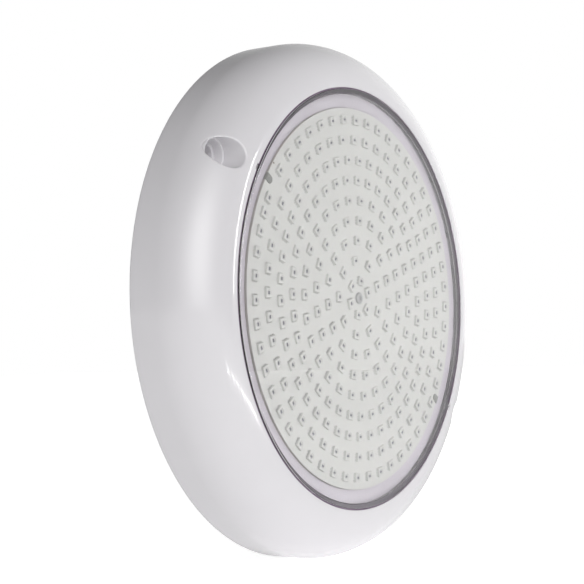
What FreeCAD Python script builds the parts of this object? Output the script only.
import FreeCAD, Part
import math
import os

from FreeCAD import Vector

# Surface-mounted underwater pool light. The wall is the plane y = 0, the light faces -Y and its axis
# is the Y axis, so a depth d is a distance from the wall and lies at y = -d. Angles run from +X
# towards +Z. The origin is the centre of the bracket's wall screws, on the wall.

# Overall sizes
LENS_R = 116.8          # the clear lens, outside
RIM_W = 28.2            # from the lens to the outside of the front ring
BODY_DEPTH = 47.3       # rear edge of the front ring to the lens face
WALL_GAP = 1.0          # water gap between the front ring and the wall
SCREW_ANGLE = 146.7     # direction of the first retaining screw; the second is opposite

# Clearances
FIT_GAP = 0.05          # between glued, pressed or stacked round faces
BOND_GAP = 0.1          # between potting and what it is cast around
RUN_GAP = 0.05          # a thread or shaft that turns, on the radius
PART_GAP = 0.3          # between neighbours that don't touch

# Lens and its seal
LENS_T = 3.0
LENS_H = 6.0            # lens face to the foot of its skirt
SKIRT_T = 2.5
FLANGE_W = 4.6          # foot flange, beyond the skirt
FLANGE_T = 2.0
LENS_ROUND = 0.8
SEAL_WEB = 0.5          # dark seal between lens and front ring
SEAL_LOW = 0.7          # seal's edge below the lens face
KEY_ANGLE = 145.3       # first locating key of the lens; the second is opposite
KEY_W = 3.2
KEY_LOW = 0.9           # key's top below the lens face
KEY_REACH = 0.9         # key's end beyond the lip's bore
KEY_ROOT = 1.0          # key's start inside the lens's side

# Front ring
RING_T = 3.0
SIDE_H = 16.6           # straight part of the side
LIP_LOW = 0.4           # lip below the lens face
LIP_T = 3.2
LIP_ROUND = 0.5
REAR_ROUND = 1.2
RIBS = 24
RIB_T = 1.8
RIB_W = 10.0
RIB_LOW = 6.0           # rib's foot above the rear edge

# Screw pockets, from the front
POCKET_INSET = 16.8     # pocket's centre beyond the lip
HEAD_ROOM = 1.35        # round the screw's head, on the radius
LOWER_LEDGE_W = 1.8
UPPER_LEDGE_W = 0.8
COLUMN_T = 2.0
POCKET_DEEP = 16.3      # lens face to the first ledge
POCKET_STEP = 5.5       # first ledge to the second
POCKET_FLOOR_T = 3.0
COLUMN_FOOT = 10.5      # column's foot from the wall

# Retaining screws
SCREW_R = 2.5
SCREW_HEAD_R = 4.25
SCREW_HEAD_H = 4.0
SCREW_END = 2.2         # screw's tip from the wall
SCREW_HEAD_ROUND = 0.8
RECESS_W = 1.3
RECESS_L = 5.0
RECESS_DEEP = 2.2
CLIP_R = 4.2
CLIP_T = 0.8
CLIP_GROOVE = 0.4

# Board and LEDs
BOARD_INSET = 10.5      # board's edge inside the lens
BOARD_T = 1.6
BOARD_SEAT = 0.3        # board's back below the lens foot
LED_COUNTS = (6, 9, 15, 21, 27, 36, 42, 45, 51)
LED_FIRST_R = 9.7
LED_MARGIN = 6.6        # outer LED circle inside the board's edge
LED_START = 18.0
LED_L = 6.6             # along the circle, with its terminals
LED_W = 5.0
LED_MOVED = {18: 3.6, 19: 1.7, 20: 0.6, 43: -0.5}  # outer LEDs set aside for the plugs, in degrees
BOARD_SCREW_R = 1.5
BOARD_SCREW_HEAD_R = 3.2
BOARD_SCREW_L = 8.0
BOARD_SCREW_CROSS = 3.2
BOARD_SCREW_SLOT = 0.7  # width and depth of its recess
PLUG_ANGLES = (143.5, 324.2)
PLUG_W = 4.5
PLUG_L = 5.2            # inward from the board's edge
PLUG_PROUD = 0.5

# Rear pan
PAN_T = 2.5
PAN_LEDGE = 3.3         # ledge under the board's edge
POTTING_T = 6.0
WELL_R = 42.0
WELL_DEEP = 16.0
POST_R = 4.0
PAN_RIBS = 12
PAN_RIB_H = 4.0
PAN_RIB_T = 2.0
LUGS = 6
LUG_R = 5.0
LUG_T = 3.0
LUG_DROP = 5.3          # lug below the pan's flange
LUG_GUSSET_SHORT = 1.5  # gusset's end inside the boss
BOSS_R = 4.0
BOSS_ROOM = 0.8         # boss beyond the lens's flange
PAN_SCREW_R = 1.6
PAN_SCREW_HEAD_R = 3.3
PAN_SCREW_HEAD_H = 2.2
PAN_SCREW_CROSS = 4.0
PAN_SCREW_SLOT_W = 1.0
PAN_SCREW_SLOT_DEEP = 1.2
PAN_SCREW_BITE = 7.0
HOLE_SPARE = 0.5        # a blind hole past its screw's tip

# Driver
DRIVER_ROOM = 6.0       # round the driver board, in the well
DRIVER_T = 1.6
DRIVER_LIFT = 7.0       # driver board above the well's floor
DRIVER_POST_R = 3.0
DRIVER_POST_INSET = 5.0
DRIVER_POSTS = (90, 210, 330)
DRIVER_SCREW_R = 1.2
DRIVER_SCREW_HEAD_R = 2.3
DRIVER_SCREW_HEAD_H = 1.6
DRIVER_SCREW_L = 6.0
PIN_R = 0.5
PIN_PITCH = 5.0
PIN_ROW = 12.0
PINS = 4
BRIDGE = (15.0, 3.5, 8.5)
BRIDGE_AT = (-19.0, -2.0)
CAN_R = 3.3
CAN_L = 15.0
CAN_START = -3.5
CAN_ROWS = (-10.0, -18.0)
CHOKE_R = 7.0
CHOKE_HOLE_R = 3.0
CHOKE_T = 5.0
CHOKE_ROUND = 1.2
CHOKE_AT = (20.0, 8.0)
CHIP = (6.0, 1.6, 5.0)
CHIP_AT = (-16.0, 14.0)

# Cable gland, behind the pan
GLAND_Z = -22.0
GLAND_R = 8.0
GLAND_HEX = 22.0
HEX_CHAMFER = 0.2
GLAND_FLANGE_T = 4.0
GLAND_WASHER_T = 1.0
GLAND_BARREL = 5.0
GLAND_BORE_R = 4.7
GLAND_NUT_T = 4.0
GLAND_NUT_LIP = 2.8
GLAND_CLAMP_R = 4.4
GLAND_SEAL_R = 6.3
GLAND_SPARE = 0.5       # barrel past the locknut, and seal into the body
GLAND_DOME_W = 0.6
GLAND_DOME_IN = 1.5
CORD_R = 3.8            # the seal's hole, for a round cord

# Wall bracket
PLATE_T = 3.0
PLATE_R = 64.0
OPENING_R = 36.0
ARM_W = 34.0
ARM_ROOT = 0.9          # where the arms leave the plate, as a share of its radius
EAR_WALL = 3.7
BRACKET_RIB_H = 5.0
BRACKET_RIB_T = 2.4
WALL_HOLE_R = 2.6
WALL_HOLE_PCD = 100.0
WALL_HOLES = 4
INSERT_WALL = 1.1
INSERT_END = 1.5
BOSS_GAP = 1.7          # bracket's boss to the front ring's column

# Depths, from the wall
FRONT = WALL_GAP + BODY_DEPTH
LIP = FRONT - LIP_LOW
LIP_BACK = LIP - LIP_T
SIDE_TOP = WALL_GAP + SIDE_H
SEAT = FRONT - LENS_H
BOARD_BACK = SEAT - BOARD_SEAT
BOARD_FACE = BOARD_BACK + BOARD_T
LED_TOP = FRONT - LENS_T - PART_GAP
FLOOR = BOARD_BACK - POTTING_T
WELL_FLOOR = FLOOR - WELL_DEEP
WELL_BACK = WELL_FLOOR - PAN_T
PAN_FLANGE = SEAT - PAN_T
LUG_FACE = PAN_FLANGE - LUG_DROP
COLUMN_FLOOR = COLUMN_FOOT + POCKET_FLOOR_T
BRACKET_BOSS = COLUMN_FOOT - BOSS_GAP
DRIVER_BACK = WELL_FLOOR + DRIVER_LIFT
DRIVER_FACE = DRIVER_BACK + DRIVER_T

# Radii
SCREW_HOLE_R = SCREW_R + PART_GAP
POCKET_NECK_R = SCREW_HEAD_R + HEAD_ROOM
POCKET_STEP_R = POCKET_NECK_R + LOWER_LEDGE_W
POCKET_R = POCKET_STEP_R + UPPER_LEDGE_W
INSERT_R = SCREW_R + INSERT_WALL
EAR_R = INSERT_R + EAR_WALL
DRIVER_R = WELL_R - DRIVER_ROOM
DRIVER_POST_AT = DRIVER_R - DRIVER_POST_INSET
SEAL_IN = LENS_R + FIT_GAP
SEAL_OUT = SEAL_IN + SEAL_WEB
LIP_R = SEAL_OUT + FIT_GAP
BODY_R = LENS_R + RIM_W
POCKET_AT = LIP_R + POCKET_INSET
COLUMN_R = POCKET_R + COLUMN_T
FLANGE_R = LENS_R + FLANGE_W
BOSS_AT = FLANGE_R + BOSS_R + BOSS_ROOM
RIM_REACH = BODY_R - LIP_R - LIP_ROUND
INNER_START = FLANGE_R + PART_GAP
INNER_REACH = BODY_R - RING_T - INNER_START
BOARD_R = LENS_R - BOARD_INSET
CHAMBER_R = BOARD_R - PAN_LEDGE
LED_LAST_R = BOARD_R - LED_MARGIN
LED_PITCH = (LED_LAST_R - LED_FIRST_R) / (len(LED_COUNTS) - 1)


def at(r, d, angle=0.0):
    """The point at radius r and depth d, turned from +X towards +Z."""
    turn = math.radians(angle)
    return Vector(r * math.cos(turn), -d, r * math.sin(turn))


def turn(shape, angle):
    """Turns a copy of the shape about the light's axis, from +X towards +Z."""
    copy = shape.copy()
    copy.rotate(Vector(0, 0, 0), Vector(0, -1, 0), angle)
    return copy


def spun(edges):
    """A solid of revolution about the light's axis from a closed outline of edges."""
    face = Part.Face(Part.Wire(edges))
    solid = face.revolve(Vector(0, 0, 0), Vector(0, 1, 0), 360)
    if solid.Volume < 0:
        solid.reverse()
    return solid


def path(*corners):
    """Straight edges through corners given as (radius, depth)."""
    points = [at(r, d) for r, d in corners]
    return [Part.LineSegment(a, b).toShape() for a, b in zip(points, points[1:])]


def ring(*corners):
    """A solid of revolution with straight sides."""
    return spun(path(*corners, corners[0]))


def rod(radius, back, front, where=(0.0, 0.0)):
    """A cylinder along the light's axis, between two depths."""
    return Part.makeCylinder(radius, front - back, Vector(where[0], -back, where[1]), Vector(0, -1, 0))


def slab(width, back, front, height, where=(0.0, 0.0)):
    """A box centred on a place (x, z), between two depths."""
    corner = Vector(where[0] - width / 2, -front, where[1] - height / 2)
    return Part.makeBox(width, front - back, height, corner)


def hexagon(across, back, front, where):
    """A six-sided bar along the light's axis, with chamfered rear corners."""
    radius = across / math.sqrt(3)
    corners = [Vector(where[0] + radius * math.cos(math.radians(60 * i)), -back,
                      where[1] + radius * math.sin(math.radians(60 * i))) for i in range(7)]
    face = Part.Face(Part.makePolygon(corners))
    bar = face.extrude(Vector(0, back - front, 0))
    start = across / 2 - HEX_CHAMFER
    cone = Part.makeCone(start, start + (front - back) * 2, front - back,
                         Vector(where[0], -back, where[1]), Vector(0, -1, 0))
    return bar.common(cone)


def spot(r, angle):
    """The place (x, z) at radius r and an angle."""
    point = at(r, 0, angle)
    return (point.x, point.z)


def quarter(centre_r, half_w, top):
    """The quarter ellipse that curves from the side of the ring to its front."""
    centre = at(centre_r, SIDE_TOP)
    curve = Part.Ellipse(at(centre_r, top), at(centre_r + half_w, SIDE_TOP), centre)
    return Part.ArcOfEllipse(curve, 0, math.pi / 2).toShape()


def arc(start, middle, end):
    return Part.Arc(at(*start), at(*middle), at(*end)).toShape()


def corner(r, d, size, dr, dd):
    """The middle of a small round whose centre is at (r, d), towards (dr, dd)."""
    return (r + dr * size * math.sqrt(0.5), d + dd * size * math.sqrt(0.5))


def ring_outside():
    """The outer edges of the front ring, from its lip's bore round to the rear edge."""
    lip_mid = corner(LIP_R + LIP_ROUND, LIP - LIP_ROUND, LIP_ROUND, -1, 1)
    rear_mid = corner(BODY_R - REAR_ROUND, WALL_GAP + REAR_ROUND, REAR_ROUND, 1, -1)
    side = (BODY_R, WALL_GAP + REAR_ROUND)
    rear = (BODY_R - REAR_ROUND, WALL_GAP)
    edges = [arc((LIP_R, LIP - LIP_ROUND), lip_mid, (LIP_R + LIP_ROUND, LIP))]
    edges.append(quarter(LIP_R + LIP_ROUND, RIM_REACH, LIP))
    edges += path((BODY_R, SIDE_TOP), side)
    edges.append(arc(side, rear_mid, rear))
    return edges


def ring_skin():
    """The hollow, open-backed skin of the front ring."""
    edges = ring_outside()
    edges += path((BODY_R - REAR_ROUND, WALL_GAP), (BODY_R - RING_T, WALL_GAP), (BODY_R - RING_T, SIDE_TOP))
    edges.append(quarter(INNER_START, INNER_REACH, LIP_BACK))
    edges += path((INNER_START, LIP_BACK), (LIP_R, LIP_BACK), (LIP_R, LIP - LIP_ROUND))
    return spun(edges)


def ring_envelope():
    """Everything inside the front ring's outer surface."""
    edges = ring_outside()
    edges += path((BODY_R - REAR_ROUND, WALL_GAP), (LIP_R, WALL_GAP), (LIP_R, LIP - LIP_ROUND))
    return spun(edges)


def pocket_bores(angle):
    where = spot(POCKET_AT, angle)
    ledge = FRONT - POCKET_DEEP
    bores = rod(POCKET_R, ledge, FRONT, where)
    bores = bores.fuse(rod(POCKET_STEP_R, ledge - POCKET_STEP, FRONT, where))
    bores = bores.fuse(rod(POCKET_NECK_R, COLUMN_FLOOR, FRONT, where))
    return bores.fuse(rod(SCREW_HOLE_R, 0, FRONT, where))


def lug_angles():
    return [SCREW_ANGLE + 360 / LUGS * (i + 0.5) for i in range(LUGS)]


def rib_angles():
    """Rib directions, without those that a pocket's column takes."""
    angles = [SCREW_ANGLE + 360 / RIBS * i for i in range(RIBS)]
    return [a for a in angles if (a - SCREW_ANGLE) % 180 > 1]


def key_angles():
    return (KEY_ANGLE, KEY_ANGLE + 180)


def bezel_ring():
    envelope = ring_envelope()
    inside = []
    for angle in (SCREW_ANGLE, SCREW_ANGLE + 180):
        inside.append(rod(COLUMN_R, COLUMN_FOOT, FRONT, spot(POCKET_AT, angle)))
    for angle in lug_angles():
        inside.append(rod(BOSS_R, LUG_FACE, FRONT, spot(BOSS_AT, angle)))
    rib_mid = BODY_R - RING_T / 2 - RIB_W / 2
    rib = slab(RIB_W, WALL_GAP + RIB_LOW, LIP, RIB_T, (rib_mid, 0))
    inside += [turn(rib, angle) for angle in rib_angles()]
    body = ring_skin()
    for piece in inside:
        body = body.fuse(piece.common(envelope))
    for angle in (SCREW_ANGLE, SCREW_ANGLE + 180):
        body = body.cut(pocket_bores(angle))
    for angle in lug_angles():
        hole = rod(PAN_SCREW_R, LUG_FACE, LUG_FACE + PAN_SCREW_BITE + HOLE_SPARE, spot(BOSS_AT, angle))
        body = body.cut(hole)
    for angle in key_angles():
        body = body.cut(turn(key_notch(), angle))
    return body.removeSplitter()


def key_block(gap, front):
    """A block across the lens's side and the lip, on +X, grown by a gap."""
    out = LIP_R + KEY_REACH + gap
    width = out - LENS_R + KEY_ROOT
    return slab(width, LIP_BACK - gap, front, KEY_W + 2 * gap, (out - width / 2, 0))


def key_notch():
    """The room for a key in the lip and the seal, open to the front."""
    return key_block(PART_GAP, FRONT)


def lens():
    """A shallow clear cup, face forward, with a foot flange and two locating keys."""
    edge = LENS_R - LENS_ROUND
    skirt = LENS_R - SKIRT_T
    mid = corner(edge, FRONT - LENS_ROUND, LENS_ROUND, 1, 1)
    edges = path((0, FRONT - LENS_T), (0, FRONT), (edge, FRONT))
    edges.append(arc((edge, FRONT), mid, (LENS_R, FRONT - LENS_ROUND)))
    edges += path((LENS_R, FRONT - LENS_ROUND), (LENS_R, SEAT + FLANGE_T), (FLANGE_R, SEAT + FLANGE_T),
                  (FLANGE_R, SEAT), (skirt, SEAT), (skirt, FRONT - LENS_T), (0, FRONT - LENS_T))
    body = spun(edges)
    for angle in key_angles():
        body = body.fuse(turn(key_block(0, FRONT - KEY_LOW), angle))
    return body.removeSplitter()


def lens_seal():
    """The dark seal: a web between the lens and the lip, and a leg on the lens's flange."""
    foot = SEAT + FLANGE_T
    body = ring((SEAL_IN, foot), (FLANGE_R, foot), (FLANGE_R, LIP_BACK), (SEAL_OUT, LIP_BACK),
                (SEAL_OUT, FRONT - SEAL_LOW), (SEAL_IN, FRONT - SEAL_LOW))
    for angle in key_angles():
        body = body.cut(turn(key_notch(), angle))
    return body


def plug(angle, gap, back, front):
    """A plug with a round inner end, set into the board's edge."""
    inner = BOARD_R - PLUG_L + PLUG_W / 2
    half = PLUG_W / 2 + gap
    outer = BOARD_R + 2 * gap
    shape = rod(half, back, front, (inner, 0))
    shape = shape.fuse(slab(outer - inner, back, front, 2 * half, ((outer + inner) / 2, 0)))
    shape = shape.common(rod(outer, back, front))
    return turn(shape.removeSplitter(), angle)


def led_board():
    body = rod(BOARD_R, BOARD_BACK, BOARD_FACE)
    body = body.cut(rod(BOARD_SCREW_R + BOND_GAP, BOARD_BACK, BOARD_FACE))
    for angle in PLUG_ANGLES:
        body = body.cut(plug(angle, FIT_GAP, BOARD_BACK, BOARD_FACE))
    return body


def led_angles(count):
    outermost = count == LED_COUNTS[-1]
    return [LED_START + 360 / count * i + (LED_MOVED.get(i, 0) if outermost else 0) for i in range(count)]


def led_circle(index):
    """One circle of LEDs, each a separate solid on the board's face."""
    radius = LED_FIRST_R + LED_PITCH * index
    led = slab(LED_W, BOARD_FACE, LED_TOP, LED_L, (radius, 0))
    return Part.makeCompound([turn(led, angle) for angle in led_angles(LED_COUNTS[index])])


def board_screw():
    body = rod(BOARD_SCREW_HEAD_R, BOARD_FACE, LED_TOP)
    body = body.fuse(rod(BOARD_SCREW_R, BOARD_FACE - BOARD_SCREW_L, BOARD_FACE))
    recess = LED_TOP - BOARD_SCREW_SLOT
    body = body.cut(slab(BOARD_SCREW_CROSS, recess, LED_TOP, BOARD_SCREW_SLOT))
    return body.cut(slab(BOARD_SCREW_SLOT, recess, LED_TOP, BOARD_SCREW_CROSS)).removeSplitter()


def fill_plugs():
    shapes = [plug(angle, 0, BOARD_BACK, BOARD_FACE + PLUG_PROUD) for angle in PLUG_ANGLES]
    return Part.makeCompound(shapes)


def pan_shell():
    return ring((0, WELL_BACK), (WELL_R + PAN_T, WELL_BACK), (WELL_R + PAN_T, FLOOR - PAN_T),
                (CHAMBER_R + PAN_T, FLOOR - PAN_T), (CHAMBER_R + PAN_T, PAN_FLANGE), (FLANGE_R, PAN_FLANGE),
                (FLANGE_R, SEAT), (BOARD_R + PART_GAP, SEAT), (BOARD_R + PART_GAP, BOARD_BACK),
                (CHAMBER_R, BOARD_BACK), (CHAMBER_R, FLOOR), (WELL_R, FLOOR), (WELL_R, WELL_FLOOR),
                (0, WELL_FLOOR))


def pan_lug():
    """One screw lug with its gusset, on +X."""
    start = CHAMBER_R + PAN_T / 2
    back = LUG_FACE - LUG_T
    mid = (start + BOSS_AT) / 2
    body = slab(BOSS_AT - start, back, LUG_FACE, 2 * LUG_R, (mid, 0))
    body = body.fuse(rod(LUG_R, back, LUG_FACE, (BOSS_AT, 0)))
    gusset_out = BOSS_AT - BOSS_R - LUG_GUSSET_SHORT
    gusset = slab(gusset_out - start, back, PAN_FLANGE + PAN_T / 2, LUG_T, ((start + gusset_out) / 2, 0))
    return body.fuse(gusset)


def rear_pan():
    body = pan_shell()
    body = body.fuse(rod(POST_R, WELL_FLOOR, BOARD_BACK))
    for angle in DRIVER_POSTS:
        body = body.fuse(rod(DRIVER_POST_R, WELL_FLOOR, DRIVER_BACK, spot(DRIVER_POST_AT, angle)))
    for angle in lug_angles():
        body = body.fuse(turn(pan_lug(), angle))
    rib_in = WELL_R + PAN_T / 2
    rib_out = CHAMBER_R + PAN_T / 2
    rib = slab(rib_out - rib_in, FLOOR - PAN_T - PAN_RIB_H, FLOOR - PAN_T / 2, PAN_RIB_T,
               ((rib_in + rib_out) / 2, 0))
    for i in range(PAN_RIBS):
        body = body.fuse(turn(rib, SCREW_ANGLE + 360 / PAN_RIBS * i))
    for angle in lug_angles():
        body = body.cut(rod(PAN_SCREW_R + PART_GAP, LUG_FACE - LUG_T, LUG_FACE, spot(BOSS_AT, angle)))
    for angle in DRIVER_POSTS:
        body = body.cut(rod(DRIVER_SCREW_R, DRIVER_FACE - DRIVER_SCREW_L, DRIVER_FACE,
                            spot(DRIVER_POST_AT, angle)))
    body = body.cut(rod(BOARD_SCREW_R, BOARD_FACE - BOARD_SCREW_L, BOARD_BACK))
    body = body.cut(rod(GLAND_R + RUN_GAP, WELL_BACK, WELL_FLOOR, (0, GLAND_Z)))
    return body.removeSplitter()


def pan_screws():
    """Six self-tapping screws through the pan's lugs into the front ring's bosses."""
    shapes = []
    for angle in lug_angles():
        where = spot(BOSS_AT, angle)
        under = LUG_FACE - LUG_T
        end = under - PAN_SCREW_HEAD_H
        screw = rod(PAN_SCREW_HEAD_R, end, under, where)
        screw = screw.fuse(rod(PAN_SCREW_R, under, LUG_FACE + PAN_SCREW_BITE, where))
        for width, height in ((PAN_SCREW_SLOT_W, PAN_SCREW_CROSS), (PAN_SCREW_CROSS, PAN_SCREW_SLOT_W)):
            screw = screw.cut(slab(width, end, end + PAN_SCREW_SLOT_DEEP, height, where))
        shapes.append(screw.removeSplitter())
    return Part.makeCompound(shapes)


def pin_spots():
    return [(PIN_PITCH * (i - (PINS - 1) / 2), PIN_ROW) for i in range(PINS)]


def potting():
    body = rod(CHAMBER_R - FIT_GAP, FLOOR, BOARD_BACK)
    body = body.cut(rod(POST_R + BOND_GAP, FLOOR, BOARD_BACK))
    for where in pin_spots():
        body = body.cut(rod(PIN_R + BOND_GAP, FLOOR, BOARD_BACK, where))
    return body


def lead_pins():
    return Part.makeCompound([rod(PIN_R, DRIVER_FACE, BOARD_BACK, where) for where in pin_spots()])


def driver_board():
    body = rod(DRIVER_R, DRIVER_BACK, DRIVER_FACE)
    body = body.cut(rod(POST_R + PART_GAP, DRIVER_BACK, DRIVER_FACE))
    for angle in DRIVER_POSTS:
        body = body.cut(rod(DRIVER_SCREW_R + BOND_GAP, DRIVER_BACK, DRIVER_FACE, spot(DRIVER_POST_AT, angle)))
    return body


def driver_screws():
    shapes = []
    for angle in DRIVER_POSTS:
        where = spot(DRIVER_POST_AT, angle)
        screw = rod(DRIVER_SCREW_HEAD_R, DRIVER_FACE, DRIVER_FACE + DRIVER_SCREW_HEAD_H, where)
        shapes.append(screw.fuse(rod(DRIVER_SCREW_R, DRIVER_FACE - DRIVER_SCREW_L, DRIVER_FACE, where)))
    return Part.makeCompound(shapes)


def block_on_driver(size, where):
    """A block of (width, thickness, height) on the driver board."""
    width, thick, height = size
    return slab(width, DRIVER_FACE, DRIVER_FACE + thick, height, where)


def bridge_rectifier():
    return block_on_driver(BRIDGE, BRIDGE_AT)


def smoothing_capacitors():
    """Two round capacitors lying side by side."""
    cans = []
    for z in CAN_ROWS:
        start = Vector(CAN_START, -(DRIVER_FACE + CAN_R), z)
        cans.append(Part.makeCylinder(CAN_R, CAN_L, start, Vector(1, 0, 0)))
    return Part.makeCompound(cans)


def driver_choke():
    """A wound ring core standing flat on the board."""
    top = DRIVER_FACE + CHOKE_T
    body = rod(CHOKE_R, DRIVER_FACE, top, CHOKE_AT).cut(rod(CHOKE_HOLE_R, DRIVER_FACE, top, CHOKE_AT))
    return body.makeFillet(CHOKE_ROUND, [e for e in body.Edges if len(e.Vertexes) == 1])


def control_chip():
    return block_on_driver(CHIP, CHIP_AT)


def gland_body():
    where = (0, GLAND_Z)
    flange = WELL_BACK - GLAND_WASHER_T
    neck = flange - GLAND_FLANGE_T
    body = hexagon(GLAND_HEX, neck, flange, where)
    body = body.fuse(rod(GLAND_R, neck - GLAND_BARREL, WELL_FLOOR + GLAND_NUT_T + GLAND_SPARE, where))
    body = body.cut(rod(GLAND_BORE_R, 0, FRONT, where))
    body = body.cut(rod(GLAND_SEAL_R + FIT_GAP, 0, neck + GLAND_SPARE, where))
    return body.removeSplitter()


def gland_washer():
    where = (0, GLAND_Z)
    body = rod(GLAND_HEX / 2, WELL_BACK - GLAND_WASHER_T, WELL_BACK, where)
    return body.cut(rod(GLAND_R + RUN_GAP, 0, WELL_BACK, where))


def gland_locknut():
    where = (0, GLAND_Z)
    body = hexagon(GLAND_HEX, WELL_FLOOR, WELL_FLOOR + GLAND_NUT_T, where)
    return body.cut(rod(GLAND_R + RUN_GAP, 0, FRONT, where))


def gland_nut():
    """The clamping nut, with a domed end around the cord's hole."""
    where = (0, GLAND_Z)
    top = WELL_BACK - GLAND_WASHER_T - GLAND_FLANGE_T - PART_GAP
    inner = top - GLAND_BARREL
    body = hexagon(GLAND_HEX, inner - GLAND_NUT_LIP / 2, top, where)
    dome = Part.makeCone(GLAND_SEAL_R + GLAND_DOME_W, GLAND_HEX / 2 - GLAND_DOME_IN, GLAND_NUT_LIP / 2,
                         Vector(0, GLAND_NUT_LIP - inner, GLAND_Z), Vector(0, -1, 0))
    body = body.fuse(dome)
    body = body.cut(rod(GLAND_R + RUN_GAP, inner, top, where))
    return body.cut(rod(GLAND_CLAMP_R, 0, top, where)).removeSplitter()


def gland_seal():
    """The rubber ring that grips the cord."""
    where = (0, GLAND_Z)
    neck = WELL_BACK - GLAND_WASHER_T - GLAND_FLANGE_T
    top = neck + GLAND_SPARE
    foot = neck - GLAND_BARREL
    body = rod(GLAND_SEAL_R, foot, top, where)
    return body.cut(rod(CORD_R, foot, top, where))


def bracket_arm():
    """The plate's two arms out to the ears, along X."""
    root = PLATE_R * ARM_ROOT
    half = ARM_W / 2
    side = [(root, half), (POCKET_AT, EAR_R), (POCKET_AT, -EAR_R), (root, -half)]
    corners = side + [(-x, -z) for x, z in side]
    points = [Vector(x, 0, z) for x, z in corners]
    return Part.Face(Part.makePolygon(points + points[:1])).extrude(Vector(0, -PLATE_T, 0))


def bracket_ribs():
    """Two stiffening ribs along each arm."""
    length = POCKET_AT - PLATE_R
    ribs = []
    for sign in (-1, 1):
        for z in (-EAR_R + BRACKET_RIB_T, EAR_R - BRACKET_RIB_T):
            where = (sign * (PLATE_R + length / 2), z)
            ribs.append(slab(length, PLATE_T / 2, PLATE_T + BRACKET_RIB_H, BRACKET_RIB_T, where))
    return ribs


def wall_bracket():
    body = rod(PLATE_R, 0, PLATE_T).fuse(bracket_arm())
    rim = rod(OPENING_R + BRACKET_RIB_T, 0, PLATE_T + BRACKET_RIB_H / 2)
    body = body.fuse(rim)
    for rib in bracket_ribs():
        body = body.fuse(rib)
    for sign in (-1, 1):
        where = (sign * POCKET_AT, 0)
        body = body.fuse(rod(EAR_R, 0, BRACKET_BOSS, where))
        body = body.cut(rod(INSERT_R + FIT_GAP, INSERT_END, BRACKET_BOSS, where))
        body = body.cut(rod(SCREW_HOLE_R, 0, BRACKET_BOSS, where))
    body = body.cut(rod(OPENING_R, 0, FRONT))
    for i in range(WALL_HOLES):
        angle = 360 / WALL_HOLES * (i + 0.5)
        body = body.cut(rod(WALL_HOLE_R, 0, PLATE_T, spot(WALL_HOLE_PCD / 2, angle)))
    return turn(body.removeSplitter(), SCREW_ANGLE)


def bracket_inserts():
    """Brass threaded inserts in the bracket's bosses."""
    shapes = []
    for angle in (SCREW_ANGLE, SCREW_ANGLE + 180):
        where = spot(POCKET_AT, angle)
        body = rod(INSERT_R, INSERT_END, BRACKET_BOSS, where)
        shapes.append(body.cut(rod(SCREW_R + RUN_GAP, INSERT_END, BRACKET_BOSS, where)))
    return Part.makeCompound(shapes)


def clip_back():
    return COLUMN_FOOT - PART_GAP - CLIP_T


def retaining_screw(angle):
    where = spot(POCKET_AT, angle)
    top = COLUMN_FLOOR + SCREW_HEAD_H
    head = rod(SCREW_HEAD_R, COLUMN_FLOOR, top, where)
    rim = [e for e in head.Edges if len(e.Vertexes) == 1 and math.isclose(e.CenterOfMass.y, -top)]
    body = head.makeFillet(SCREW_HEAD_ROUND, rim)
    body = body.fuse(rod(SCREW_R, SCREW_END, COLUMN_FLOOR, where))
    body = body.cut(slab(RECESS_L, top - RECESS_DEEP, top, RECESS_W, where))
    body = body.cut(slab(RECESS_W, top - RECESS_DEEP, top, RECESS_L, where))
    groove = rod(2 * SCREW_R, clip_back(), clip_back() + CLIP_T, where)
    groove = groove.cut(rod(SCREW_R - CLIP_GROOVE, clip_back(), clip_back() + CLIP_T, where))
    return body.cut(groove).removeSplitter()


def screw_clip(angle):
    """The ring in the screw's groove that keeps it in the front ring."""
    where = spot(POCKET_AT, angle)
    body = rod(CLIP_R, clip_back(), clip_back() + CLIP_T, where)
    return body.cut(rod(SCREW_R - CLIP_GROOVE + FIT_GAP, clip_back(), clip_back() + CLIP_T, where))


NODES = {
    "wall_bracket": wall_bracket,
    "bracket_inserts": bracket_inserts,
    "bezel_ring": bezel_ring,
    "lens": lens,
    "lens_seal": lens_seal,
    "led_board": led_board,
    "board_screw": board_screw,
    "fill_plugs": fill_plugs,
    "rear_pan": rear_pan,
    "pan_screws": pan_screws,
    "potting": potting,
    "lead_pins": lead_pins,
    "driver_board": driver_board,
    "driver_screws": driver_screws,
    "bridge_rectifier": bridge_rectifier,
    "smoothing_capacitors": smoothing_capacitors,
    "driver_choke": driver_choke,
    "control_chip": control_chip,
    "gland_body": gland_body,
    "gland_washer": gland_washer,
    "gland_locknut": gland_locknut,
    "gland_nut": gland_nut,
    "gland_seal": gland_seal,
}
for index in range(len(LED_COUNTS)):
    NODES[f"led_circle_{index + 1}"] = lambda index=index: led_circle(index)
for letter, angle in (("a", SCREW_ANGLE), ("b", SCREW_ANGLE + 180)):
    NODES[f"retaining_screw_{letter}"] = lambda angle=angle: retaining_screw(angle)
    NODES[f"screw_clip_{letter}"] = lambda angle=angle: screw_clip(angle)

os.makedirs("parts", exist_ok=True)
for name, make in NODES.items():
    shape = make()
    assert shape.isValid(), name
    shape.exportStep(f"parts/{name}.step")
    box = shape.BoundBox
    print(f"{name:22s} {len(shape.Solids):3d} solids {shape.Volume / 1000:9.2f} cm3"
          f"  x {box.XMin:7.1f} {box.XMax:7.1f}  y {box.YMin:6.1f} {box.YMax:6.1f}  z {box.ZMin:7.1f} {box.ZMax:7.1f}")
